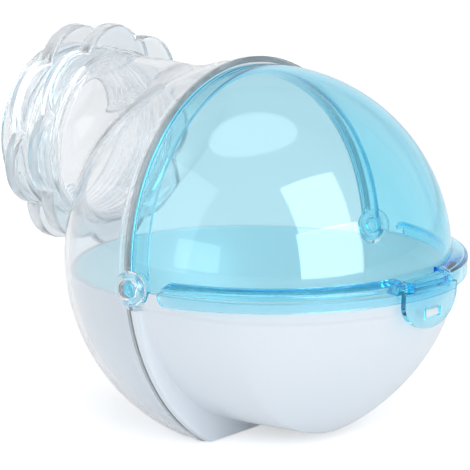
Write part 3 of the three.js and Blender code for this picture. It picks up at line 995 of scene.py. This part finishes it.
@dataclass
class SandBowl:
    """White bowl: a keeled front, a bead along the seam, a half ball nested in the shell, a catch."""

    radius: float = 59.8
    thickness: float = 1.8
    bulge: float = 2.2
    bulge_end_deg: float = 50.0
    collar_step: float = 0.6
    collar_drop: float = 6.8
    collar_soft: Pair = (0.012, 0.016)
    collar_rows: Pair = (0.018, 0.02)
    collar_least: Pair = (0.002, 0.02)
    keel: float = 51.0
    floor: float = 51.6
    front_rim: float = 1.0
    back_rim: float = 3.5
    notch: float = 6.3
    bead_ends_deg: Pair = (-6.4, -173.6)
    bead_back: float = 0.9
    bead_width: float = 2.4
    bead_radius: float = 61.7
    bead_base: float = 53.1
    bead_corner: float = 0.7
    bead_chamfer: float = 0.2
    bead_soft: float = 2.2
    bead_soft_share: float = 0.9
    bead_bite: float = 0.06
    bead_sink: float = 1.0
    nest_start: float = -0.3
    catch: tuple[float, float, float] = (3.2, 1.1, 7.6)
    catch_tip: float = 66.08
    catch_slope: float = 0.25
    catch_taper: float = 0.96
    # which faces of the bowl get the painted light: how far they face its middle, and how far below the
    # rim
    painted_light_facing: float = -5.0
    painted_light_margin: float = 0.5
    columns: int = 200
    front_rows: tuple[int, int, int] = (10, 14, 110)
    back_rows: int = 64
    bead_rows: int = 8
    floor_rows: int = 10
    rounding: float = 0.3

    def rim_dip(self, share: Array, drop: float, pressed: float = 1.0) -> Array:
        """Dip of the rim in radians: level, but lower where it passes under a pivot lug.

        Args:
            share: Place of each column between the pivots, from -1 to 1.
            drop: Depth of the level rim below the pivots.
            pressed: Share of its height that the skin keeps beside the pivots.

        Returns:
            One dip per column.
        """
        ahead = self.radius * np.cos(share * np.pi / 2)
        notch = np.sqrt(np.maximum(self.notch**2 - ahead**2, 0)) / pressed
        return np.arcsin(np.maximum(drop, notch) / self.radius)

    def front_skin(self, inset: float) -> Array:
        """Skin of the front, inset by a wall.

        A ball that swells towards the front below its rim, where the swelling fades as it goes down;
        a collar band with a soft lower step; and a keel: each cross-section is pressed into half an
        ellipse no deeper than the keel. Every row ends on the leaning plane of the seam.

        Args:
            inset: Distance inside the outer skin.

        Returns:
            Grid of points, rows from the rim to the bottom.
        """
        share = np.linspace(-1, 1, self.columns)
        ball, keel = self.radius - inset, self.keel - inset
        collar = math.asin(self.collar_drop / self.radius)
        rim = self.rim_dip(share, self.front_rim, self.keel / self.radius)
        band_end = np.maximum(collar - self.collar_rows[0], rim + self.collar_least[0])
        step_end = np.maximum(collar + self.collar_rows[1], rim + self.collar_least[1])
        stops = np.stack([rim, band_end, step_end, np.full_like(rim, np.pi / 2)])
        dip = stretches(stops, self.front_rows)
        before, after = self.collar_soft
        band = self.collar_step * (1 - smooth_step(collar - before, collar + after, dip))
        pressed = np.minimum(1.0, keel / ball)
        ends = lean_plane(self.bead_back, -(ball + band) * np.sin(dip) * pressed)
        level = np.maximum((ball + band) * np.cos(dip), TINY)
        heading = share * np.arccos(np.clip(-ends / level, -1, 1))
        facing = np.cos(heading)
        fade = 1 - smooth_step(0, math.radians(self.bulge_end_deg), dip)
        skin = ball + band + self.bulge * np.maximum(facing, 0) * fade
        x, y = skin * np.cos(dip) * np.sin(heading), -skin * np.cos(dip) * facing
        half = np.sqrt(np.maximum(ball**2 - y**2, TINY))
        z = -skin * np.sin(dip) * np.minimum(1.0, keel / half)
        return points_at(x, np.minimum(y, lean_plane(self.bead_back, z)), z)

    def back_skin(self, inset: float) -> Array:
        """Skin of the nested half: a ball from its rim down to a level floor, ended by a leaning plane.

        Args:
            inset: Distance inside the outer skin.

        Returns:
            Grid of points, rows from the rim to the middle of the seam on the floor.
        """
        share = np.linspace(-1, 1, self.columns)
        ball, floor = self.radius - inset, self.floor - inset
        rim = self.rim_dip(share, self.back_rim)
        stops = np.stack([rim, np.full_like(rim, math.asin(floor / ball))])
        dip = stretches(stops, [self.back_rows])
        level, height = ball * np.cos(dip), -ball * np.sin(dip)
        heading = share * np.arccos(np.clip(lean_plane(self.nest_start, height) / level, -1, 1))
        side = points_at(level * np.sin(heading), level * np.cos(heading), height)
        middle = np.array([0.0, lean_plane(self.nest_start, -floor), -floor])
        inwards = np.linspace(1 - 1 / self.floor_rows, 0, self.floor_rows)[:, None, None]
        return np.concatenate([side, middle + (side[-1] - middle) * inwards])

    def bead(self) -> Body:
        """Bead along the seam: a rounded strip between the shell's rim and the front, with a soft root.

        The section is carried round below the pivots in the leaning plane of the rim. Its top follows
        the circle of the rim, cut level at the base, and its root follows the ellipse of the front.

        Returns:
            The closed body.
        """
        angle = np.linspace(*np.radians(self.bead_ends_deg), self.columns)
        ones = np.ones((1, self.columns))
        down = np.maximum(-np.sin(angle), TINY)
        depth = self.keel / LEAN_COS
        root = 1 / np.sqrt((np.cos(angle) / self.radius) ** 2 + (np.sin(angle) / depth) ** 2)
        chamfer, corner = self.bead_chamfer, self.bead_corner
        turn = quarter_turn(self.bead_rows)
        rise = np.minimum(self.bead_radius, self.bead_base / down) - root
        soft = np.minimum(self.bead_soft, np.maximum(rise, chamfer) * self.bead_soft_share)
        back, front = self.bead_back, self.bead_back - self.bead_width
        behind = [
            back * ones,
            back * ones,
            (back - chamfer) * ones,
            (front + corner - corner * np.sin(turn)) * ones,
            front - soft * (1 - np.cos(turn)),
            (front - self.bead_soft) * ones,
        ]
        tops = [
            np.minimum(self.bead_radius, (self.bead_base - y * LEAN_SIN) / (down * LEAN_COS))
            for y in behind
        ]
        sink = (root - self.bead_sink) * ones
        radius = np.concatenate([
            sink,
            tops[1] - chamfer,
            tops[2],
            tops[3] - corner + corner * np.cos(turn),
            root - self.bead_bite + soft * (1 - np.sin(turn)),
            sink,
        ])
        grid = leaned(points_at(radius * np.cos(angle), np.concatenate(behind), radius * np.sin(angle)))
        middle = len(grid) // 2
        return wall(grid[:middle], grid[middle:][::-1])

    def catch_tooth(self) -> Body:
        """Tooth that stands in the latch's window: a small block with a sloping top.

        Returns:
            The closed body.
        """
        half, tall, drop = self.catch
        x, z = np.meshgrid([-half, half], [-drop - tall, -drop + tall])
        front = self.catch_slope * (z > -drop) - self.catch_tip
        return wall(points_at(self.catch_taper * x, front, z), points_at(x, -self.radius, z))

    def build(self) -> Object:
        """Join front, back, bead and catch into one white piece, with painted light on the faces inside
        the bowl.

        Returns:
            The finished object.
        """
        bodies = [
            wall(self.front_skin(0), self.front_skin(self.thickness)),
            wall(self.back_skin(0), self.back_skin(self.thickness)),
            self.bead(),
            self.catch_tooth(),
        ]
        nodes = ("sand_bowl",)
        piece = piece_from("sand_bowl_look", bodies, WHITE, "pod", nodes, self.rounding)
        # painted light: the faces inside the bowl get the paler copy of the white
        WARDROBE.trim(piece, INSIDE_PAINTED_LIGHT, self.painted_light_faces(piece.data))
        return piece

    def painted_light_faces(self, mesh: Mesh) -> Array:
        """Mask of the faces that look into the bowl, which get the painted light: they face its middle,
        below the rim.

        Args:
            mesh: Mesh of the piece.

        Returns:
            One flag per face.
        """
        place = (face_values(mesh, "center") - BALL_CENTRE) / MM
        facing = np.sum(place * face_values(mesh, "normal"), axis=-1)
        return (facing < self.painted_light_facing) & (place[:, 2] < -self.front_rim - self.painted_light_margin)


@dataclass
class Visor:
    """Blue see-through quarter ball with a thick back border, pivot ears, and a skirt below."""

    radius: float = 59.7
    bore: float = 57.9
    bottom: float = -0.5
    tuck: float = 2.2
    border: float = 6.0
    border_rise: float = 1.2
    border_ramp: Pair = (0.4, -0.1)
    pane_reach: float = 0.9
    ear_radius: float = 5.0
    ear_back: float = 57.3
    ear_chamfer: float = 0.5
    ear_round: float = 0.3
    ear_face: tuple[float, float, float] = (59.3, 59.52, 59.58)
    pin_radius: float = 2.5
    pin_end: float = 62.6
    pin_chamfer: float = 0.4
    core_radius: float = 1.6
    core_end: float = 61.2
    core_chamfer: float = 0.3
    skirt_radius: float = 64.6
    skirt_bore: float = 63.1
    skirt_bite: float = 0.75
    skirt_drop: float = 3.2
    shoulder_top: float = 3.4
    shoulder_edge: float = 1.5
    skirt_start: float = 11.8
    end_radius: float = 3.0
    slot_half: float = 10.2
    slot_drop: float = 1.4
    slot_step: float = 0.003
    lug_width: float = 3.2
    slack: float = 0.02
    socket_end: float = 11.8
    socket_radius: float = 0.9
    pane_columns: int = 260
    pane_rows: tuple[int, int, int] = (120, 4, 10)
    skirt_columns: tuple[int, int, int, int] = (6, 1, 90, 14)
    slot_columns: int = 25
    skirt_rows: tuple[int, int] = (6, 6)
    shoulder_rows: int = 20
    rounding: float = 0.25

    def pane_skin(self, radius: float, inner: bool) -> Array:
        """Skin of the pane.

        Columns run from pivot to pivot and rows roll about the pivot axis, from the level lower edge
        to the leaning back edge. On the inner skin the last rows step in to thicken the border.

        Args:
            radius: Radius of the skin.
            inner: Whether it is the inner skin.

        Returns:
            Grid of points.
        """
        limit = math.acos(self.pane_reach * self.ear_radius / self.radius)
        aside = np.linspace(-limit, limit, self.pane_columns)
        roll_radius = radius * np.cos(aside)
        lower = np.arcsin(np.clip(self.bottom / roll_radius, -1, 1))
        step = self.border - self.tuck
        ramp_start, ramp_end = (
            LEAN + np.arccos(np.clip((step + margin) / roll_radius, -1, 1)) for margin in self.border_ramp
        )
        back = LEAN + np.pi / 2 + np.arcsin(np.clip(self.tuck / roll_radius, -1, 1))
        roll = stretches(np.stack([lower, ramp_start, ramp_end, back]), self.pane_rows)
        rise = np.zeros((len(roll), 1))
        if inner:
            plain, ramp, full = self.pane_rows
            climb = np.linspace(0, self.border_rise, ramp + 1)
            rise[plain:, 0] = np.concatenate([climb, np.full(full, self.border_rise)])
        share = (radius - rise) / radius
        skin = points_at(radius * np.sin(aside), -roll_radius * np.cos(roll), roll_radius * np.sin(roll))
        return skin * share[..., None]

    def ear(self, side: int) -> Body:
        """Ear with its hollow pin, turned about the pivot axis.

        Args:
            side: Side that it stands on, -1 or 1.

        Returns:
            The closed body.
        """
        edge, bend, face = self.ear_face
        profile = [
            (self.core_end, 0.0),
            (self.core_end, self.core_radius),
            (self.ear_back + self.core_chamfer, self.core_radius),
            (self.ear_back, self.core_radius + self.core_chamfer),
            (self.ear_back, self.ear_radius - self.ear_chamfer),
            (self.ear_back + self.ear_chamfer, self.ear_radius),
            (edge, self.ear_radius),
            (bend, self.ear_radius - self.ear_round),
            (face, self.pin_radius),
            (self.pin_end - self.pin_chamfer, self.pin_radius),
            (self.pin_end, self.pin_radius - self.pin_chamfer),
            (self.pin_end, 0.0),
        ]
        along, radius = np.array(profile).T
        return turned(about_x(side * along, radius, PIVOT_STEPS))

    def skirt_headings(self) -> Array:
        """Headings of the skirt's columns from end to end, with steps at the slot and the hinge lugs.

        Returns:
            One heading per column, in radians.
        """
        end = math.acos(self.skirt_start / self.skirt_radius)
        lug = math.asin((self.slot_half + self.lug_width) / self.skirt_radius)
        slot = math.asin(self.slot_half / self.skirt_radius)
        near_end = end - self.end_radius / self.skirt_radius
        stops = np.array([slot, lug, lug + self.slot_step, near_end, end])
        right = stretches(stops, self.skirt_columns)
        centre = np.linspace(-slot, slot, self.slot_columns)[1:-1]
        return np.concatenate([-right[::-1], centre, right])

    def skirt_section(self, radius: float, rise: float) -> tuple[Array, Array]:
        """Section of the skirt: straight up from its lower edge, then a quarter ellipse to the pane.

        Args:
            radius: Radius of the straight part.
            rise: Height of the ellipse.

        Returns:
            Radii and heights of the section's points.
        """
        reach = self.radius - self.skirt_bite
        stops = np.array([-self.skirt_drop, -self.slot_drop, self.shoulder_edge])
        straight = stretches(stops, self.skirt_rows)[:-1]
        bend = quarter_turn(self.shoulder_rows)[:, 0]
        curved = reach + (radius - reach) * np.cos(bend)
        radii = np.concatenate([np.full_like(straight, radius), curved])
        return radii, np.concatenate([straight, self.shoulder_edge + rise * np.sin(bend)])

    def skirt(self) -> Body:
        """Shoulder and skirt.

        The inner section follows the outer one at the wall's distance, except at the lugs, which are
        solid to the pane. Near its ends the section is squeezed towards a rounded outline. The slot
        is left open.

        Returns:
            The closed body.
        """
        heading = self.skirt_headings()
        rise = self.shoulder_top - self.shoulder_edge
        wall_size = self.skirt_radius - self.skirt_bore
        outer_r, outer_z = self.skirt_section(self.skirt_radius, rise)
        inner_r, inner_z = self.skirt_section(self.skirt_bore, rise - wall_size)
        across = np.abs(self.skirt_radius * np.sin(heading))
        by_slot = across < self.slot_half + self.lug_width + self.slack
        lug = by_slot & (across > self.slot_half - self.slack)
        solid = lug[None, :] & (inner_z > self.bottom)[:, None]
        from_end = (math.acos(self.skirt_start / self.skirt_radius) - np.abs(heading)) * self.skirt_radius
        corner = np.clip(self.end_radius - from_end, 0, self.end_radius)
        trim = self.end_radius - np.sqrt(np.maximum(self.end_radius**2 - corner**2, 0))
        middle = (self.shoulder_top - self.skirt_drop) / 2
        half = (self.shoulder_top + self.skirt_drop) / 2
        squeeze = (half - trim) / half

        def grid(radius: Array, height: Array) -> Array:
            """Points of a section carried along the skirt, with square sides by the slot.

            Args:
                radius: Radii, one per row or per point.
                height: One height per row.

            Returns:
                Grid of points.
            """
            z = middle + (height[:, None] - middle) * squeeze
            x = np.where(by_slot, self.skirt_radius, radius) * np.sin(heading)
            return points_at(x, -np.sqrt(radius**2 - x**2), z)

        outer = grid(outer_r[:, None], outer_z)
        inner = grid(np.where(solid, self.radius - self.skirt_bite, inner_r[:, None]), inner_z)
        centre = (heading[1:] + heading[:-1]) / 2
        in_slot = np.abs(self.skirt_radius * np.sin(centre)) < self.slot_half
        above = outer_z[1:] > self.slack / 2 - self.slot_drop
        return wall(outer, inner, ~(above[:, None] & in_slot[None, :]))

    def build(self) -> Object:
        """Join pane, ears and skirt into one blue piece.

        Returns:
            The finished object.
        """
        bodies = [
            wall(self.pane_skin(self.radius, False), self.pane_skin(self.bore, True)),
            self.ear(-1),
            self.ear(1),
            self.skirt(),
        ]
        along, radius = self.socket_end * ROD_ENDS, self.socket_radius * ROD
        socket = turned(about_x(along, radius, HINGE_STEPS, LATCH_AXIS[1], LATCH_AXIS[2]))
        return piece_from("visor_look", bodies, BLUE, "visor", ("visor",), self.rounding, [socket])


@dataclass
class Latch:
    """Blue see-through plate with a rounded tip and a window, on a hinge barrel with trunnions."""

    bore: float = 65.18
    thickness: float = 1.6
    width: float = 26.4
    drop: float = 12.4
    straight: float = 3.4
    shoulder: float = 0.1
    top: float = 2.65
    tip_width: float = 0.02
    web_overlap: float = 0.3
    web_sink: float = 0.6
    barrel_width: float = 19.6
    barrel_radius: float = 1.7
    barrel_chamfer: float = 0.3
    trunnion_radius: float = 0.7
    trunnion_reach: float = 1.8
    window_half: float = 3.7
    window_share: float = 0.6
    window_rows: Pair = (-9.2, -6.0)
    straight_rows: int = 8
    tip_rows: tuple[int, int, int] = (8, 8, 16)
    side_columns: int = 11
    middle_columns: int = 11
    web_grid: tuple[int, int] = (31, 7)
    rounding: float = 0.25

    def plate(self) -> Body:
        """Plate between two balls: straight sides, an elliptic tip, and a window in the middle.

        Rows go down the plate. Each row is as wide as the outline there, and its middle columns keep
        the window's width while the others share the rest.

        Returns:
            The closed body.
        """
        tip = self.drop - self.straight
        low, high = self.window_rows
        stops = np.array([-self.shoulder, -self.straight])
        straight = stretches(stops, [self.straight_rows])[:-1]
        window_bends = [math.asin((-row - self.straight) / tip) for row in (high, low)]
        bend = stretches(np.array([0.0, *window_bends, np.pi / 2]), self.tip_rows)[:-1]
        height = np.concatenate([straight, -self.straight - tip * np.sin(bend), [-self.drop]])
        wide = np.concatenate([np.ones_like(straight), np.cos(bend), [self.tip_width]])
        half = self.width / 2 * wide
        window = np.minimum(self.window_half, self.window_share * half)[:, None]
        side = window + np.linspace(0, 1, self.side_columns) * (half[:, None] - window)
        middle = window * np.linspace(-1, 1, self.middle_columns + 2)[1:-1]
        x = np.concatenate([-side[:, ::-1], middle, side], axis=1)
        z = height[:, None] * np.ones_like(x)
        centre = (height[1:] + height[:-1]) / 2
        cell = np.arange(x.shape[1] - 1)
        first = self.side_columns - 1
        in_columns = (cell >= first) & (cell <= first + self.middle_columns)
        in_rows = (centre > low) & (centre < high)
        keep = ~(in_rows[:, None] & in_columns)
        return wall(self.on_ball(x, z, self.bore + self.thickness), self.on_ball(x, z, self.bore), keep)

    @staticmethod
    def on_ball(x: Array, z: Array, radius: float) -> Array:
        """Points in front of the pod at given places across and up, on a ball."""
        return points_at(x, -np.sqrt(radius**2 - x**2 - z**2), z)

    def web(self) -> Body:
        """Web between the barrel and the plate: level above, curved in front.

        Returns:
            The closed body.
        """
        half, foot = self.barrel_width / 2, -self.shoulder - self.web_overlap
        cols, rows = self.web_grid
        x, z = np.meshgrid(np.linspace(-half, half, cols), np.linspace(self.top, foot, rows))
        inner = points_at(x, LATCH_AXIS[1] - self.web_sink, z)
        return wall(self.on_ball(x, z, self.bore + self.thickness), inner)

    def barrel(self) -> Body:
        """Hinge barrel with its trunnions, turned about the hinge axis.

        Returns:
            The closed body.
        """
        half, chamfer = self.barrel_width / 2, self.barrel_chamfer
        end = half + self.trunnion_reach
        thin, thick = self.trunnion_radius, self.barrel_radius
        right = np.array([half - chamfer, half, half, end, end])
        shrink = np.array([thick, thick - chamfer, thin, thin, 0.0])
        along, radius = np.concatenate([-right[::-1], right]), np.concatenate([shrink[::-1], shrink])
        return turned(about_x(along, radius, HINGE_STEPS, LATCH_AXIS[1], LATCH_AXIS[2]))

    def build(self) -> Object:
        """Join plate, web and barrel into one blue piece."""
        bodies = [self.plate(), self.web(), self.barrel()]
        return piece_from("latch_look", bodies, BLUE, "latch", ("latch",), self.rounding)


# Studio


@dataclass(frozen=True)
class Panel:
    """Soft light panel that faces the ball.

    Args:
        name: Name of the light.
        way: Direction from the ball to the panel: right, up and back as the camera stands.
        size: Its width and height in metres.
        glow: Brightness of its face, where 1 is the white of the background.
        oval: Whether it is an ellipse instead of a rectangle.
        lights_matt: Whether it lights matt surfaces, or shows only where it is mirrored.
    """

    name: str
    way: tuple[float, float, float]
    size: Pair
    glow: float
    oval: bool = False
    lights_matt: bool = True


UPPER = Panel("upper_window", (0.523, 0.475, 0.708), (0.9, 0.8), 1.95)
LOWER = Panel("lower_window", (0.665, 0.02, 0.747), (1.07, 0.72), 2.4)
PANELS = (
    UPPER,
    replace(UPPER, name="upper_glint", glow=2.3, lights_matt=False),
    LOWER,
    replace(LOWER, name="lower_glint", glow=3.7, lights_matt=False),
    Panel("left_window", (-0.826, 0.263, 0.5), (1.1, 1.7), 1.05),
    Panel("low_left_window", (-0.606, -0.02, 0.79), (0.72, 0.42), 1.5),
    Panel("top_softbox", (-0.07, 0.967, 0.245), (0.85, 1.15), 1.35, oval=True),
)


def unit(vector: Array) -> Array:
    """Vector of length 1 in the same direction."""
    return vector / np.linalg.norm(vector)


def stand(thing: Object, right: Array, back: Array, place: Array) -> None:
    """Put a lamp or camera in its place, from the directions of its right and of its back."""
    rows = np.column_stack([right, np.cross(back, right), back, place])
    thing.matrix_world = Matrix([*rows.tolist(), [0, 0, 0, 1]])


@dataclass
class Studio:
    """Pale floor, soft light from large panels, and a camera at the photograph's viewing angle."""

    azimuth_deg: float = -51.333
    elevation_deg: float = 12.847
    roll_deg: float = 0.768
    distance: float = 0.85
    focal_px: float = 2714.7
    centre_px: Pair = (261.09, 254.30)
    sensor_mm: float = 36.0
    nearest: float = 0.01
    floor_size: float = 12.0
    floor_colour: Colour = (0.95, 0.95, 0.95)
    floor_roughness: float = 0.9
    floor_glow: float = 0.5
    floor_glow_through_glass: float = 0.31
    backdrop_through_glass: float = 0.92
    back_dimming: float = 0.3
    back_edge: float = 0.5
    room_colour: Colour = (0.97, 0.985, 1.0)
    room_ends: Pair = (0.52, 0.6)
    room_between: tuple[Pair, ...] = ((0.25, 0.40), (0.6, 0.36), (0.8, 0.43))
    panel_distance: float = 1.5
    glint_distance: float = 1.49

    def axes(self) -> tuple[Array, Array, Array]:
        """Camera's right, up and back directions before the ball is moved off the frame's middle.

        Returns:
            Three unit vectors.
        """
        az, el, roll = np.radians([self.azimuth_deg, self.elevation_deg, self.roll_deg]).tolist()
        back = np.array([math.sin(az) * math.cos(el), -math.cos(az) * math.cos(el), math.sin(el)])
        right = np.array([math.cos(az), math.sin(az), 0.0])
        up = np.cross(back, right)
        rolled = right * math.cos(roll) + up * math.sin(roll)
        return rolled, up * math.cos(roll) - right * math.sin(roll), back

    def camera(self) -> None:
        """Camera that sees the ball's centre at its place in the photograph."""
        right, up, back = self.axes()
        middle = IMAGE_SIZE / 2
        aside = (self.centre_px[0] - middle) / self.focal_px
        above = (middle - self.centre_px[1]) / self.focal_px
        facing = unit(back + right * aside + up * above)
        data = bpy.data.cameras.new("photo_camera")
        data.sensor_width = self.sensor_mm
        data.lens = self.focal_px / IMAGE_SIZE * data.sensor_width
        data.clip_start = self.nearest
        camera = put_in_scene("photo_camera", data)
        level = unit(right - facing * np.dot(right, facing))
        stand(camera, level, facing, BALL_CENTRE + back * self.distance)
        bpy.context.scene.camera = camera

    def hang(self, panel: Panel) -> None:
        """Hang up one light panel; a panel that is only mirrored hangs a little in front.

        Args:
            panel: The panel.
        """
        toward = unit(np.array(self.axes()).T @ np.array(panel.way))
        data = bpy.data.lights.new(panel.name, "AREA")
        data.shape = "ELLIPSE" if panel.oval else "RECTANGLE"
        data.size, data.size_y = panel.size
        data.energy = panel.glow * math.pi * panel.size[0] * panel.size[1]
        light = put_in_scene(panel.name, data)
        light.visible_diffuse = panel.lights_matt
        away = self.panel_distance if panel.lights_matt else self.glint_distance
        level = unit(np.cross([0.0, 0.0, 1.0], toward))
        stand(light, level, toward, BALL_CENTRE + toward * away)

    def floor(self) -> None:
        """Wide pale floor that also glows: to the camera, in mirrors and through glass."""
        half = self.floor_size / 2
        corners = [(-half, -half, 0), (half, -half, 0), (half, half, 0), (-half, half, 0)]
        mesh = bpy.data.meshes.new("floor")
        mesh.from_pydata(corners, [], [(0, 1, 2, 3)])
        plane = put_in_scene("floor", mesh)
        material, tree, shader = new_material("floor_paper")
        path = add_node(tree, "LightPath").outputs
        mirrored = reckon(tree, "MAXIMUM", path["Is Glossy Ray"], path["Is Transmission Ray"])
        through = reckon(tree, "MULTIPLY", mirrored, self.floor_glow_through_glass)
        glow = reckon(tree, "MULTIPLY_ADD", path["Is Camera Ray"], self.floor_glow, through)
        set_inputs(tree, shader, {
            "Base Color": (*self.floor_colour, 1),
            "Roughness": self.floor_roughness,
            "Specular IOR Level": 0.0,
            "Emission Color": (1, 1, 1, 1),
            "Emission Strength": glow,
        })
        mesh.materials.append(material)

    def world(self) -> None:
        """White backdrop behind the pod, and a grey room that is paler near the floor and overhead."""
        world = bpy.data.worlds.new("studio")
        bpy.context.scene.world = world
        world.use_nodes = True
        tree = world.node_tree
        way = add_node(tree, "TexCoord").outputs["Generated"]
        height = add_node(tree, "SeparateXYZ", {"Vector": way}).outputs["Z"]
        room = add_node(tree, "FloatCurve", {"Value": height})
        curve = room.mapping.curves[0]
        for point, strength in zip(curve.points, self.room_ends):
            point.location[1] = strength
        for place, strength in self.room_between:
            curve.points.new(place, strength)
        room.mapping.update()
        away = unit(-self.axes()[2] * (1.0, 1.0, 0.0))
        across = add_node(tree, "VectorMath", {0: way, 1: away})
        across.operation = "DOT_PRODUCT"
        ramp = {"Value": across.outputs["Value"], "From Max": self.back_edge}
        behind_ramp = add_node(tree, "MapRange", ramp)
        behind_ramp.interpolation_type = "SMOOTHSTEP"
        behind = behind_ramp.outputs["Result"]
        path = add_node(tree, "LightPath").outputs
        dimmed = reckon(tree, "MULTIPLY_ADD", behind, -self.back_dimming, 1.0)
        lit = reckon(tree, "MULTIPLY", room.outputs["Value"], dimmed)
        mirrored = reckon(tree, "MULTIPLY", path["Is Glossy Ray"], behind)
        seen = reckon(tree, "MAXIMUM", mirrored, path["Is Transmission Ray"])
        seen = reckon(tree, "MULTIPLY_ADD", seen, self.backdrop_through_glass, path["Is Camera Ray"])
        set_inputs(tree, tree.nodes["Background"], {
            "Color": (*self.room_colour, 1),
            "Strength": reckon(tree, "MAXIMUM", lit, seen),
        })

    def build(self) -> None:
        """Set up floor, world, light and camera."""
        self.floor()
        self.world()
        for panel in PANELS:
            self.hang(panel)
        self.camera()
        bpy.context.scene.view_settings.view_transform = "Standard"


def main() -> None:
    """Build every piece in order and report it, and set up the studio."""
    logging.basicConfig(level=logging.INFO, format="%(name)s: %(message)s")
    tube = ConnectorTube()
    pieces = [
        BackShell().build(tube),
        ClampNut("front_nut", start=62.3, turn_deg=3.5).build(tube),
        ClampNut("rear_nut", start=72.9, turn_deg=17.0).build(tube),
        SandBowl().build(),
        Visor().build(),
        Latch().build(),
    ]
    for piece in pieces:
        log.info("%s: %d points, %d faces", piece.name, len(piece.data.vertices), len(piece.data.polygons))
    Studio().build()


if __name__ == "__main__":
    main()
